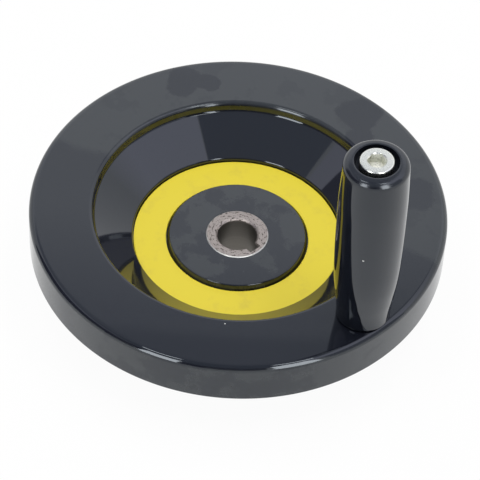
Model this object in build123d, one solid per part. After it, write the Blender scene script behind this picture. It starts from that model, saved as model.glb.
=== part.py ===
from build123d import *
import math
import os

# Dished machine handwheel with a revolving grip.
# Frame: millimetres, +Z up. The origin is on the shaft axis at the rear face of the hub,
# +Z runs along the bore towards the grip side, and +X points to the grip and the keyway.

# ---------------------------------------------------------------- rim of the wheel
WHEEL_DIAMETER = 125.0  # just under the rounding of the rim face
RIM_WIDTH = 19.35  # edge of the wheel in to the foot of the steep wall
RIM_THICKNESS = 14.2  # rim face down to the edge of the skirt
RIM_TOP_WALL = 5.0  # material over the finger channel
RIM_FACE_RADIUS = 2.0  # rounding between rim face and skirt
SKIRT_WALL = 2.9  # at the bottom of a finger ripple, where it is thinnest
SKIRT_DRAFT = 1.0  # degrees
SKIRT_EDGE_BEVEL = 0.6  # outer edge of the skirt
SKIRT_INNER_BEVEL = 0.5

# ---------------------------------------------------------------- dish
LIP_DEPTH = 3.1  # rim face down to the foot of the steep wall
LIP_WALL_DRAFT = 8.0  # degrees
LIP_RADIUS = 1.35
LIP_FOOT_RADIUS = 1.1
CONE_ANGLE = 37.7  # degrees below the rim face
CONE_FOOT_HEIGHT = 1.1  # foot of the cone above the face of the colour ring
DISH_WALL = 5.0  # wall of the cone, measured square to it
CONE_BACK_RADIUS = 4.0
CHANNEL_BEVEL = 1.5  # in the corners of the channel floor

# ---------------------------------------------------------------- hub
HUB_LENGTH = 18.0
HUB_BOSS_DIAMETER = 36.0
HUB_BOSS_DRAFT = 2.0  # degrees
HUB_BOSS_EDGE_BEVEL = 0.6
HUB_BOSS_ROOT_BEVEL = 1.5
HUB_FACE_SET_BACK = 0.2  # moulded face behind the end of the steel bush
HUB_DISC_DRAFT = 15.0  # degrees, side of the raised face inside the colour ring
HUB_DISC_EDGE_RADIUS = 0.4
WEB_THICKNESS = 4.9  # under the groove of the colour ring

# ---------------------------------------------------------------- steel bush
BUSH_DIAMETER = 19.0
BORE_DIAMETER = 12.0
BORE_CHAMFER = 0.6
BUSH_EDGE_CHAMFER = 0.3
KEYWAY_WIDTH = 4.0
KEYWAY_HEIGHT = 14.2  # bottom of the keyway to the far side of the bore
BUSH_GROOVE_DEPTH = 0.9  # holds the bush endways in the moulding
BUSH_GROOVE_WIDTH = 3.0
BUSH_FLUTE_COUNT = 4  # flutes stop it turning
BUSH_FLUTE_RADIUS = 1.2
BUSH_END_COLLAR = 3.0  # plain length at each end, without flutes

# ---------------------------------------------------------------- colour ring
RING_OUTER_DIAMETER = 62.4
RING_INNER_DIAMETER = 42.8
RING_THICKNESS = 1.2
RING_RECESS = 1.45  # hub face down to the face of the ring
RING_EDGE_BEVEL = 0.2
RING_CLEARANCE = 0.25  # between the ring and each wall of its groove
GROOVE_EDGE_RADIUS = 0.85

# ---------------------------------------------------------------- finger ripples
RIPPLE_COUNT = 20
RIPPLE_RADIUS = 14.0
RIPPLE_CREST_RADIUS = 2.0

# ---------------------------------------------------------------- grip and its spindle
GRIP_SET_IN = 8.6  # edge of the wheel in to the axis of the grip
GRIP_LENGTH = 64.1
GRIP_BASE_DIAMETER = 15.8
GRIP_BELLY_DIAMETER = 19.8
GRIP_SHOULDER_DIAMETER = 18.9  # at the sharp corner, before it is rounded
GRIP_BELLY_SHARE = 0.72  # height of the widest place, as a share of the length
# Flank of the grip from its base to the widest place: each pair is the height as a share
# of the length, and the swell as a share of the way from the base to the widest radius.
GRIP_FLANK = ((0.06, 0.08), (0.15, 0.4), (0.27, 0.77), (0.42, 0.94))
GRIP_TAPER = 1.5  # degrees, lean of the flank where it meets the shoulder
GRIP_BASE_BEVEL = 0.5
GRIP_SHOULDER_RADIUS = 2.4
GRIP_END_LAND = 0.6  # flat width around the counterbore
GRIP_END_SLOPE = 14.0  # degrees, fall of the end face towards the shoulder
GRIP_MOUTH_BEVEL = 0.3
GRIP_END_PLAY = 0.3  # running gap at each end of the grip
GRIP_BORE_CLEARANCE = 0.05  # on the radius, around the spindle
COUNTERBORE_DIAMETER = 12.8
COUNTERBORE_DEPTH = 5.0
SPINDLE_DIAMETER = 8.0
SPINDLE_HEAD_DIAMETER = 9.9
SPINDLE_HEAD_HEIGHT = 5.0
SPINDLE_HEAD_CHAMFER = 0.5
SOCKET_ACROSS_FLATS = 5.0
SOCKET_DEPTH = 3.6
SOCKET_MOUTH_CHAMFER = 0.3
SOCKET_TURN = 48.0  # degrees, direction of one corner of the hexagon
THREAD_DIAMETER = 6.0
THREAD_LENGTH = 9.5
THREAD_CHAMFER = 0.8
THREAD_CLEARANCE = 0.05  # on the radius, plain bore in place of the thread

# ---------------------------------------------------------------- threaded insert
INSERT_ACROSS_FLATS = 9.0
INSERT_LENGTH = 11.0
INSERT_GROOVE_DEPTH = 0.8
INSERT_GROOVE_WIDTH = 2.5
INSERT_BOSS_WALL = 2.4  # moulding around the corners of the insert
INSERT_END_WALL = 1.6  # moulding behind the blind end of the insert
INSERT_BOSS_EDGE_BEVEL = 0.5

# ---------------------------------------------------------------- levels and radii worked out
hub_boss_r = HUB_BOSS_DIAMETER / 2
bush_r = BUSH_DIAMETER / 2
bore_r = BORE_DIAMETER / 2
groove_outer_r = RING_OUTER_DIAMETER / 2 + RING_CLEARANCE
hub_disc_r = RING_INNER_DIAMETER / 2 - RING_CLEARANCE
lip_foot_r = WHEEL_DIAMETER / 2 - RIM_WIDTH
lip_top_r = lip_foot_r + LIP_DEPTH * math.tan(math.radians(LIP_WALL_DRAFT))
cone_slope = math.tan(math.radians(CONE_ANGLE))
cone_back_drop = DISH_WALL / math.cos(math.radians(CONE_ANGLE))

hub_face_z = HUB_LENGTH - HUB_FACE_SET_BACK
ring_face_z = hub_face_z - RING_RECESS
groove_floor_z = ring_face_z - RING_THICKNESS
hub_disc_top_r = hub_disc_r - (hub_face_z - groove_floor_z) * math.tan(math.radians(HUB_DISC_DRAFT))
web_back_z = groove_floor_z - WEB_THICKNESS
groove_edge_z = ring_face_z + CONE_FOOT_HEIGHT
lip_foot_z = groove_edge_z + (lip_foot_r - groove_outer_r) * cone_slope
rim_face_z = lip_foot_z + LIP_DEPTH
channel_floor_z = rim_face_z - RIM_TOP_WALL
skirt_edge_z = rim_face_z - RIM_THICKNESS

skirt_taper = math.tan(math.radians(SKIRT_DRAFT))
rim_corner_r = WHEEL_DIAMETER / 2 + RIM_FACE_RADIUS * skirt_taper
skirt_edge_r = rim_corner_r - RIM_THICKNESS * skirt_taper
ripple_root_r = skirt_edge_r - SKIRT_WALL
skirt_middle_r = (ripple_root_r + skirt_edge_r) / 2
ripple_centre_r = ripple_root_r - RIPPLE_RADIUS
crest_middle = ripple_centre_r * math.cos(math.pi / RIPPLE_COUNT)
crest_offset = ripple_centre_r * math.sin(math.pi / RIPPLE_COUNT)
ripple_crest_r = crest_middle + math.sqrt(RIPPLE_RADIUS**2 - crest_offset**2)
channel_inner_r = lip_foot_r + (channel_floor_z - lip_foot_z + cone_back_drop) / cone_slope
channel_middle_r = (channel_inner_r + ripple_crest_r) / 2
cone_back_foot_r = lip_foot_r + (web_back_z - lip_foot_z + cone_back_drop) / cone_slope

grip_throw = WHEEL_DIAMETER / 2 - GRIP_SET_IN
grip_base_z = rim_face_z + GRIP_END_PLAY
grip_end_z = grip_base_z + GRIP_LENGTH
counterbore_floor_z = grip_end_z - COUNTERBORE_DEPTH
spindle_head_z = counterbore_floor_z + GRIP_END_PLAY
spindle_end_z = spindle_head_z + SPINDLE_HEAD_HEIGHT
thread_end_z = rim_face_z - THREAD_LENGTH
grip_axis = Location((grip_throw, 0, 0))

insert_end_z = rim_face_z - INSERT_LENGTH
insert_boss_end_z = insert_end_z - INSERT_END_WALL
insert_corner_r = INSERT_ACROSS_FLATS / math.sqrt(3)
insert_boss_r = insert_corner_r + INSERT_BOSS_WALL


def turned(outline, rounds=(), bevels=()):
    """Solid turned about Z from a closed (radius, height) outline.

    rounds and bevels list (corner, size) pairs for corners that are rounded or bevelled.
    """
    with BuildPart() as solid:
        with BuildSketch(Plane.XZ) as section:
            with BuildLine():
                Polyline(*outline, close=True)
            make_face()
            for corner, size in rounds:
                fillet(section.vertices().sort_by_distance(corner)[0], size)
            for corner, size in bevels:
                chamfer(section.vertices().sort_by_distance(corner)[0], size)
        revolve(axis=Axis.Z)
    return solid.part


def middle_radius(edge):
    """Distance of the middle of an edge from the shaft axis."""
    middle = edge.position_at(0.5)
    return math.hypot(middle.X, middle.Y)


def bush_blank():
    """Outside of the bush: plain collars, lock grooves and flutes, with no bore."""
    groove_r = bush_r - BUSH_GROOVE_DEPTH
    with BuildPart() as blank:
        Cylinder(bush_r, HUB_LENGTH, align=(Align.CENTER, Align.CENTER, Align.MIN))
        chamfer(blank.edges().filter_by(GeomType.CIRCLE), BUSH_EDGE_CHAMFER)
        with Locations((0, 0, HUB_LENGTH / 2)):
            Cylinder(bush_r, BUSH_GROOVE_WIDTH, mode=Mode.SUBTRACT)
            Cylinder(groove_r, BUSH_GROOVE_WIDTH)
            with PolarLocations(bush_r, BUSH_FLUTE_COUNT):
                flute_length = HUB_LENGTH - 2 * BUSH_END_COLLAR
                Cylinder(BUSH_FLUTE_RADIUS, flute_length, mode=Mode.SUBTRACT)
    return blank.part


def make_hub_bush():
    """Steel bush with the shaft bore, chamfered at both ends, and the keyway."""
    keyway_floor = KEYWAY_HEIGHT - bore_r
    with BuildPart() as bush:
        add(bush_blank())
        Cylinder(bore_r, HUB_LENGTH, align=(Align.CENTER, Align.CENTER, Align.MIN), mode=Mode.SUBTRACT)
        mouths = bush.edges().filter_by(GeomType.CIRCLE).filter_by(lambda e: abs(e.radius - bore_r) < 1e-6)
        chamfer(mouths, BORE_CHAMFER)
        Box(
            keyway_floor,
            KEYWAY_WIDTH,
            HUB_LENGTH,
            align=(Align.MIN, Align.CENTER, Align.MIN),
            mode=Mode.SUBTRACT,
        )
    return bush.part


def insert_blank():
    """Outside of the moulded-in insert: a hexagon with one lock groove, with no bore."""
    groove_r = INSERT_ACROSS_FLATS / 2 - INSERT_GROOVE_DEPTH
    with BuildPart() as blank:
        with BuildSketch(Plane.XY.offset(insert_end_z)):
            RegularPolygon(INSERT_ACROSS_FLATS / 2, 6, major_radius=False)
        extrude(amount=INSERT_LENGTH)
        with Locations((0, 0, insert_end_z + INSERT_LENGTH / 2)):
            Cylinder(insert_corner_r, INSERT_GROOVE_WIDTH, mode=Mode.SUBTRACT)
            Cylinder(groove_r, INSERT_GROOVE_WIDTH)
    return blank.part.moved(grip_axis)


def make_handle_insert():
    """Brass insert in the rim that takes the threaded end of the spindle."""
    thread_r = THREAD_DIAMETER / 2 + THREAD_CLEARANCE
    with BuildPart() as insert:
        add(insert_blank())
        with Locations((grip_throw, 0, insert_end_z)):
            Cylinder(
                thread_r,
                INSERT_LENGTH,
                align=(Align.CENTER, Align.CENTER, Align.MIN),
                mode=Mode.SUBTRACT,
            )
    return insert.part


def wheel_section():
    """Wheel turned in one piece: hub, ring groove, cone, lip, rim and skirt.

    The skirt is left thick here, and the ripple cutter opens its inside.
    """
    groove_edge = (groove_outer_r, groove_edge_z)
    hub_disc_edge = (hub_disc_top_r, hub_face_z)
    lip_foot = (lip_foot_r, lip_foot_z)
    lip_top = (lip_top_r, rim_face_z)
    rim_edge = (rim_corner_r, rim_face_z)
    skirt_outer_edge = (skirt_edge_r, skirt_edge_z)
    channel_inner = (channel_inner_r, channel_floor_z)
    cone_back_foot = (cone_back_foot_r, web_back_z)
    boss_root = (hub_boss_r + web_back_z * math.tan(math.radians(HUB_BOSS_DRAFT)), web_back_z)
    boss_edge = (hub_boss_r, 0)
    outline = [
        (0, 0),
        (0, hub_face_z),
        hub_disc_edge,
        (hub_disc_r, groove_floor_z),
        (groove_outer_r, groove_floor_z),
        groove_edge,
        lip_foot,
        lip_top,
        rim_edge,
        skirt_outer_edge,
        (channel_middle_r, skirt_edge_z),
        (channel_middle_r, channel_floor_z),
        channel_inner,
        cone_back_foot,
        boss_root,
        boss_edge,
    ]
    rounds = [
        (hub_disc_edge, HUB_DISC_EDGE_RADIUS),
        (groove_edge, GROOVE_EDGE_RADIUS),
        (lip_foot, LIP_FOOT_RADIUS),
        (lip_top, LIP_RADIUS),
        (rim_edge, RIM_FACE_RADIUS),
        (cone_back_foot, CONE_BACK_RADIUS),
    ]
    bevels = [
        (skirt_outer_edge, SKIRT_EDGE_BEVEL),
        (channel_inner, CHANNEL_BEVEL),
        (boss_root, HUB_BOSS_ROOT_BEVEL),
        (boss_edge, HUB_BOSS_EDGE_BEVEL),
    ]
    return turned(outline, rounds, bevels)


def ripple_cutter():
    """Outer part of the finger channel, with its rippled wall, as a solid to cut away."""
    with BuildPart() as cutter:
        with BuildSketch(Plane.XY.offset(skirt_edge_z)) as outline:
            Circle(ripple_centre_r)
            with PolarLocations(ripple_centre_r, RIPPLE_COUNT):
                Circle(RIPPLE_RADIUS)
            fillet(outline.vertices(), RIPPLE_CREST_RADIUS)
            Circle(channel_middle_r, mode=Mode.SUBTRACT)
        extrude(amount=channel_floor_z - skirt_edge_z)
        roof = cutter.faces().sort_by(Axis.Z)[-1]
        chamfer(roof.outer_wire().edges(), CHANNEL_BEVEL)
    return cutter.part


def make_wheel_body():
    """Moulded wheel with the rippled finger channel and the boss for the spindle insert."""
    boss_height = channel_floor_z - insert_boss_end_z + RIM_TOP_WALL / 2
    with BuildPart() as boss:
        with Locations((grip_throw, 0, insert_boss_end_z)):
            Cylinder(insert_boss_r, boss_height, align=(Align.CENTER, Align.CENTER, Align.MIN))
        chamfer(boss.edges().sort_by(Axis.Z)[0], INSERT_BOSS_EDGE_BEVEL)
    body = wheel_section() - ripple_cutter()
    skirt_edges = body.edges().filter_by_position(Axis.Z, skirt_edge_z, skirt_edge_z)
    inner_edges = skirt_edges.filter_by(lambda edge: middle_radius(edge) < skirt_middle_r)
    body = chamfer(inner_edges, SKIRT_INNER_BEVEL) + boss.part
    return body - bush_blank() - insert_blank()


def make_colour_ring():
    """Flat plastic ring that lies in the groove around the hub."""
    inner_r = RING_INNER_DIAMETER / 2
    outer_r = RING_OUTER_DIAMETER / 2
    outline = [
        (inner_r, groove_floor_z),
        (outer_r, groove_floor_z),
        (outer_r, ring_face_z),
        (inner_r, ring_face_z),
    ]
    return turned(outline, bevels=[(outline[2], RING_EDGE_BEVEL), (outline[3], RING_EDGE_BEVEL)])


def make_handle_spindle():
    """Steel spindle: threaded end, shank for the grip and a head with a hexagon socket."""
    thread_r = THREAD_DIAMETER / 2
    shank_r = SPINDLE_DIAMETER / 2
    head_r = SPINDLE_HEAD_DIAMETER / 2
    outline = [
        (0, thread_end_z),
        (thread_r, thread_end_z),
        (thread_r, rim_face_z),
        (shank_r, rim_face_z),
        (shank_r, spindle_head_z),
        (head_r, spindle_head_z),
        (head_r, spindle_end_z),
        (0, spindle_end_z),
    ]
    bevels = [(outline[1], THREAD_CHAMFER), (outline[6], SPINDLE_HEAD_CHAMFER)]
    socket_corner_r = SOCKET_ACROSS_FLATS / math.sqrt(3)
    with BuildPart() as spindle:
        add(turned(outline, bevels=bevels))
        with BuildSketch(Plane.XY.offset(spindle_end_z)):
            RegularPolygon(socket_corner_r, 6, rotation=SOCKET_TURN)
        extrude(amount=-SOCKET_DEPTH, mode=Mode.SUBTRACT)
        with Locations((0, 0, spindle_end_z)):
            Cone(
                socket_corner_r - SOCKET_MOUTH_CHAMFER,
                socket_corner_r,
                SOCKET_MOUTH_CHAMFER,
                align=(Align.CENTER, Align.CENTER, Align.MAX),
                mode=Mode.SUBTRACT,
            )
    return spindle.part.moved(grip_axis)


def make_handle_grip():
    """Barrel grip, bored for the spindle and counterbored for its head."""
    base_r = GRIP_BASE_DIAMETER / 2
    belly_r = GRIP_BELLY_DIAMETER / 2
    shoulder_r = GRIP_SHOULDER_DIAMETER / 2
    bore = SPINDLE_DIAMETER / 2 + GRIP_BORE_CLEARANCE
    mouth_r = COUNTERBORE_DIAMETER / 2
    land_r = mouth_r + GRIP_END_LAND
    shoulder_z = grip_end_z - (shoulder_r - land_r) * math.tan(math.radians(GRIP_END_SLOPE))
    upright = (0, 1)
    lean = (-math.sin(math.radians(GRIP_TAPER)), math.cos(math.radians(GRIP_TAPER)))
    belly = (belly_r, grip_base_z + GRIP_BELLY_SHARE * GRIP_LENGTH)
    shoulder = (shoulder_r, shoulder_z)
    flank = [(base_r, grip_base_z + GRIP_BASE_BEVEL)]
    for height, swell in GRIP_FLANK:
        flank.append((base_r + swell * (belly_r - base_r), grip_base_z + height * GRIP_LENGTH))
    flank.append(belly)
    with BuildPart() as grip:
        with BuildSketch(Plane.XZ) as section:
            with BuildLine():
                Spline(*flank, tangents=(upright, upright))
                Spline(belly, shoulder, tangents=(upright, lean))
                Polyline(
                    shoulder,
                    (land_r, grip_end_z),
                    (mouth_r, grip_end_z),
                    (mouth_r, counterbore_floor_z),
                    (bore, counterbore_floor_z),
                    (bore, grip_base_z),
                    (base_r - GRIP_BASE_BEVEL, grip_base_z),
                    flank[0],
                )
            make_face()
            fillet(section.vertices().sort_by_distance(shoulder)[0], GRIP_SHOULDER_RADIUS)
            chamfer(section.vertices().sort_by_distance((mouth_r, grip_end_z))[0], GRIP_MOUTH_BEVEL)
        revolve(axis=Axis.Z)
    return grip.part.moved(grip_axis)


pieces = {
    "wheel_body": make_wheel_body(),
    "hub_bush": make_hub_bush(),
    "colour_ring": make_colour_ring(),
    "handle_insert": make_handle_insert(),
    "handle_spindle": make_handle_spindle(),
    "handle_grip": make_handle_grip(),
}

os.makedirs("parts", exist_ok=True)
for name, piece in pieces.items():
    export_step(piece, f"parts/{name}.step")
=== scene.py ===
import math

import bmesh
import bpy
from bpy.props import FloatProperty, FloatVectorProperty, IntProperty, PointerProperty
from bpy.types import Operator, Panel, PropertyGroup
from mathutils import Matrix, Vector


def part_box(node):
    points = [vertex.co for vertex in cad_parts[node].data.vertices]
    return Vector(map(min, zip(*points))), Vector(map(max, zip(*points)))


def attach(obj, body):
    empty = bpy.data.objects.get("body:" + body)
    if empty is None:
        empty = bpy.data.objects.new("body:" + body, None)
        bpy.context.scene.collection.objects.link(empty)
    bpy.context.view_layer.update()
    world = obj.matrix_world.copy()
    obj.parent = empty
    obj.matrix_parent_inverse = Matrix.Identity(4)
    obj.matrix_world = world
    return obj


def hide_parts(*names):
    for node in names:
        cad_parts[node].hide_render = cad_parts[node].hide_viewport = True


bl_info = {
    "name": "Dished handwheel",
    "version": (1, 0, 0),
    "blender": (4, 5, 0),
    "location": "View3D > Sidebar > Handwheel",
    "description": "Models and finishes a dished machine handwheel with a revolving grip",
    "category": "Add Mesh",
}

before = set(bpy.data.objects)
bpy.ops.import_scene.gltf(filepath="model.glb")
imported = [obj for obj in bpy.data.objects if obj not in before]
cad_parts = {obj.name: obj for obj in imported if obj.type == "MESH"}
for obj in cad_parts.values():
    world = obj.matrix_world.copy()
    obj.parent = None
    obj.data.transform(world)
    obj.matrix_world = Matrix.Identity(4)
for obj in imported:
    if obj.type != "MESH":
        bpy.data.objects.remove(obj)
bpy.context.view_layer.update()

MM = 0.001
TOUCH = 1e-6  # points closer than this are one point

wheel_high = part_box("wheel_body")[1]
bush_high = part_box("hub_bush")[1]
ring_low, ring_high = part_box("colour_ring")
insert_low, insert_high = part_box("handle_insert")
spindle_low, spindle_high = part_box("handle_spindle")
grip_low, grip_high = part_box("handle_grip")

rim_face_z = wheel_high.z
rim_edge_r = wheel_high.x
hub_length = bush_high.z
bush_r = bush_high.x
ring_outer_r = ring_high.x
ring_face_z = ring_high.z
groove_floor_z = ring_low.z
grip_axis_x = (grip_low.x + grip_high.x) / 2
grip_base_z = grip_low.z
grip_end_z = grip_high.z
grip_belly_r = (grip_high.x - grip_low.x) / 2
spindle_end_z = spindle_high.z
thread_end_z = spindle_low.z
spindle_head_r = (spindle_high.x - spindle_low.x) / 2
insert_end_z = insert_low.z
insert_corner_r = (insert_high.x - insert_low.x) / 2

# Flank of the grip: height as a share of the length, and swell from the base to the belly.
GRIP_FLANK = ((0.06, 0.08), (0.15, 0.4), (0.27, 0.77), (0.42, 0.94))
GRIP_BELLY_SHARE = 0.72

# Faces around each turned or drilled form.
BUSH_STEPS = 128
RING_STEPS = 192
SPINDLE_STEPS = 96
GRIP_STEPS = 160
BOSS_STEPS = 64
CURTAIN_STEPS = 24
FLANK_STEPS = 10  # faces between two knots of the grip's flank
MID_ROUND = 0.3  # middle of a small rounding of two faces, as a share of its radius

NICK_TURNS = (170, 192)  # degrees around the bush
SOCKET_SHADED_WALL = 18  # degrees, the way that the darkest wall of the socket faces
SOCKET_REACH = 4.7 * MM  # middle of the socket's mouth to just past its farthest corner

SPECK_ON_RIM = Vector((31.2, -33.5, 29.6)) * MM
SPECK_ON_GRIP = Vector((59.6, -8.0, 62.9)) * MM
# Middle and radius, in millimetres, of the darker gaps in the painted reflection on the far side of
# the rim face.
REFLECTION_GAPS = (
    ((-49.5, 22.5, 29.6), 6),
    ((-45.0, 28.5, 29.6), 4),
    ((-5.0, 54.5, 29.6), 7),
    ((3.0, 47.5, 29.6), 5),
    ((29.5, 43.5, 29.6), 7),
)
REFLECTION_EDGE = 4 * MM  # middle of the near edge of the painted reflection, beyond the middle of the wheel
REFLECTION_WAY = (0.33, 0.94)  # right and away, square to that edge
DISH_INNER_R = 21.9 * MM
DISH_OUTER_R = 43.3 * MM


# ---------------------------------------------------------------- sizes and colours


def length(name, millimetres, description):
    """A length, written here in millimetres."""
    return FloatProperty(
        name=name,
        description=description,
        default=millimetres * MM,
        min=0.0,
        precision=5,
        subtype="DISTANCE",
        unit="LENGTH",
    )


def angle(name, degrees, description):
    """An angle, written here in degrees."""
    turn = math.radians(degrees)
    return FloatProperty(name=name, description=description, default=turn, subtype="ANGLE")


def count(name, default, description, low):
    """A whole number, no smaller than a lowest value."""
    return IntProperty(name=name, description=description, default=default, min=low)


def colour(name, default, description):
    """A linear colour."""
    kind = {"size": 3, "min": 0.0, "max": 1.0, "subtype": "COLOR"}
    return FloatVectorProperty(name=name, description=description, default=default, **kind)


class WheelSizes(PropertyGroup):
    rim_width: length("Rim width", 19.35, "Edge of the wheel in to the foot of the steep wall")
    rim_thickness: length("Rim thickness", 14.2, "Rim face down to the edge of the skirt")
    rim_top_wall: length("Rim top wall", 5, "Material over the finger channel")
    rim_round: length("Rim rounding", 2.0, "Rounding between rim face and skirt")
    skirt_wall: length("Skirt wall", 2.9, "Skirt at the bottom of a finger ripple")
    skirt_draft: angle("Skirt draft", 1, "Lean of the outside of the skirt")
    skirt_edge_round: length("Skirt edge rounding", 0.7, "Outer lower edge of the skirt")
    skirt_inner_round: length("Skirt inner rounding", 0.5, "Inner lower edge of the skirt")
    lip_depth: length("Lip depth", 3.1, "Rim face down to the foot of the steep wall")
    lip_draft: angle("Lip draft", 8, "Lean of the steep wall")
    lip_round: length("Lip rounding", 1.35, "Upper edge of the steep wall")
    lip_foot_round: length("Lip foot rounding", 1.1, "Hollow corner where the cone starts")
    cone_angle: angle("Cone angle", 37.7, "Fall of the dish below the rim face")
    dish_wall: length("Dish wall", 5, "Wall of the cone, square to it")
    cone_back_round: length("Cone back rounding", 4, "Hollow corner behind the cone")
    channel_round: length("Channel rounding", 1.5, "Corners of the floor of the finger channel")
    web_wall: length("Web", 4.9, "Material under the ring groove")
    boss_diameter: length("Hub boss diameter", 36, "Rear boss of the hub")
    boss_draft: angle("Hub boss draft", 2, "Lean of the side of the boss")
    boss_edge_round: length("Hub boss rounding", 0.6, "Rear edge of the boss")
    boss_root_round: length("Hub boss root", 1.5, "Hollow corner at the foot of the boss")
    hub_set_back: length("Hub face set back", 0.2, "Moulded hub face behind the end of the bush")
    disc_draft: angle("Hub disc draft", 15, "Lean of the side of the hub disc")
    disc_round: length("Hub disc rounding", 0.4, "Edge of the hub disc above the ring")
    groove_edge_round: length("Groove rounding", 0.85, "Outer edge of the ring groove")
    ring_gap: length("Ring gap", 0.25, "Gap between the ring and each wall of its groove")
    ripple_radius: length("Ripple radius", 14, "Radius of one finger ripple")
    ripple_crest_round: length("Ripple crest rounding", 2, "Rounding between two ripples")
    ripple_count: count("Ripples", 20, "Finger ripples behind the rim", 6)
    ripple_steps: count("Steps of a ripple", 24, "Faces along one ripple", 8)
    insert_boss_wall: length("Insert boss wall", 2.4, "Moulding around the corners of the insert")
    insert_end_wall: length("Insert end wall", 1.6, "Moulding behind the end of the insert")


class HubSizes(PropertyGroup):
    bore_diameter: length("Bore", 12, "Shaft bore")
    bore_chamfer: length("Bore chamfer", 0.6, "Chamfer at each end of the bore")
    edge_chamfer: length("Bush edge", 0.3, "Chamfer at the outer edge of the bush")
    keyway_width: length("Keyway width", 4, "Width of the keyway")
    keyway_height: length("Keyway height", 14.2, "Bottom of the keyway to the far side of the bore")
    edge_wear: length("Edge wear", 0.12, "Rounding of the worn front edges of the bush")
    nick_size: length("Nick", 0.55, "Radius of the two nicks in the edge of the bush")
    ring_inner_diameter: length("Ring inner diameter", 42.8, "Hole of the colour ring")
    ring_edge: length("Ring edge", 0.2, "Rounding of the upper edges of the colour ring")


class GripSizes(PropertyGroup):
    base_diameter: length("Grip base", 15.8, "Diameter where the grip meets the rim")
    shoulder_diameter: length("Grip shoulder", 18.9, "Diameter at the corner before it is rounded")
    shoulder_round: length("Shoulder rounding", 2.4, "Rounding between flank and end face")
    base_edge: length("Grip base edge", 0.5, "Rounding of the edge at the base")
    taper: angle("Grip taper", 1.5, "Lean of the flank where it meets the shoulder")
    end_slope: angle("End slope", 14, "Fall of the end face towards the shoulder")
    end_land: length("End land", 0.6, "Flat width around the counterbore")
    mouth_edge: length("Mouth edge", 0.3, "Rounding of the mouth of the counterbore")
    counterbore_diameter: length("Counterbore", 12.8, "Bore that holds the head of the spindle")
    counterbore_depth: length("Counterbore depth", 5.0, "Depth of the counterbore")
    bore_diameter: length("Grip bore", 8.1, "Bore that runs on the spindle")
    spindle_diameter: length("Spindle", 8, "Shank of the spindle")
    thread_diameter: length("Thread", 6, "Threaded end of the spindle")
    thread_edge: length("Thread edge", 0.8, "Chamfer at the tip of the thread")
    head_height: length("Head height", 5, "Height of the head of the spindle")
    head_edge: length("Head edge", 0.5, "Rounding of the edge of the head")
    socket_flats: length("Socket", 5, "Hexagon socket across its flats")
    socket_depth: length("Socket depth", 3.6, "Depth of the hexagon socket")
    socket_mouth: length("Socket mouth", 0.3, "Chamfer at the mouth of the socket")
    socket_turn: angle("Socket turn", 48, "Direction of one corner of the hexagon")


class Finishes(PropertyGroup):
    moulding: colour("Moulding", (0.009, 0.0105, 0.0165), "Black phenolic moulding")
    moulding_dish: colour("Moulding, dish", (0.013, 0.0145, 0.021), "Faintly hazed moulding")
    # Lighter grey for random smudges, and for the painted reflection on the far side of the rim
    # face.
    moulding_film_and_reflection: colour("Moulding film", (0.027, 0.030, 0.034), "Greyed film over the gloss")
    grip: colour("Grip", (0.008, 0.0095, 0.015), "Black grip")
    ring: colour("Colour ring", (0.765, 0.628, 0.030), "Yellow colour ring")
    ring_dull: colour("Colour ring, dull", (0.70, 0.565, 0.038), "Dirtier patches of the ring")
    bush: colour("Bush", (0.445, 0.398, 0.368), "Turned steel")
    # Light steel of the outer edge of the bush: partly wear, partly a painted highlight on its
    # chamfer.
    bush_edge_and_highlight: colour("Bush edge", (0.74, 0.74, 0.70), "Bright worn edge of the bush")
    bush_dark: colour("Bush speckle", (0.07, 0.06, 0.052), "Dark speckle on the turned face")
    # Painted shade: darker steel below the top millimetre of the bush, seen in the bore.
    bore: colour("Bore", (0.15, 0.14, 0.125), "Oiled steel in the bore")
    spindle: colour("Spindle", (0.75, 0.77, 0.725), "Bright zinc plate")
    spindle_tint: colour("Spindle tint", (0.74, 0.75, 0.70), "Upper walls of the socket")
    # Painted shade on the lower walls of the socket and on the wall that faces SOCKET_SHADED_WALL.
    socket_painted_shade: colour("Spindle shade", (0.46, 0.47, 0.38), "Olive lower walls of the socket")
    # Painted light on the floor of the socket.
    socket_floor_painted_light: colour("Socket floor", (0.92, 0.92, 0.86), "Bright floor of the socket")
    insert: colour("Insert", (0.60, 0.42, 0.17), "Brass")
    dust: colour("Dust", (0.80, 0.80, 0.78), "Specks of dust")


# ---------------------------------------------------------------- modelling steps


def deselect():
    """Deselects every object."""
    bpy.ops.object.select_all(action="DESELECT")


def pick(test):
    """Selects the points of the open piece that pass a test of their place."""
    mesh = bpy.context.edit_object.data
    points = bmesh.from_edit_mesh(mesh)
    for point in points.verts:
        point.select = test(point.co)
    points.select_flush_mode()
    bmesh.update_edit_mesh(mesh)


def near(radius, height):
    """Test for the corner of an outline at a radius and a height."""
    corner = Vector((radius, 0, height))
    return lambda place: (place - corner).length < 10 * TOUCH


def start_outline(name, corner):
    """New piece, open in edit mode, that is one point at a corner of its outline."""
    deselect()
    bpy.ops.mesh.primitive_plane_add(size=MM)
    piece = bpy.context.active_object
    piece.name = name
    bpy.ops.object.mode_set(mode="EDIT")
    bpy.ops.mesh.merge(type="CENTER")
    bpy.ops.transform.translate(value=(corner[0], 0, corner[1]))
    return piece


def draw_outline(corners):
    """Extrudes the selected point along the corners that follow the first one."""
    for (radius, height), (next_radius, next_height) in zip(corners, corners[1:]):
        step = (next_radius - radius, 0, next_height - height)
        bpy.ops.mesh.extrude_region_move(TRANSFORM_OT_translate={"value": step})


def close_outline():
    """Joins the last point of the outline with the first."""
    bpy.ops.mesh.select_all(action="SELECT")
    bpy.ops.mesh.remove_doubles(threshold=TOUCH)


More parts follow.
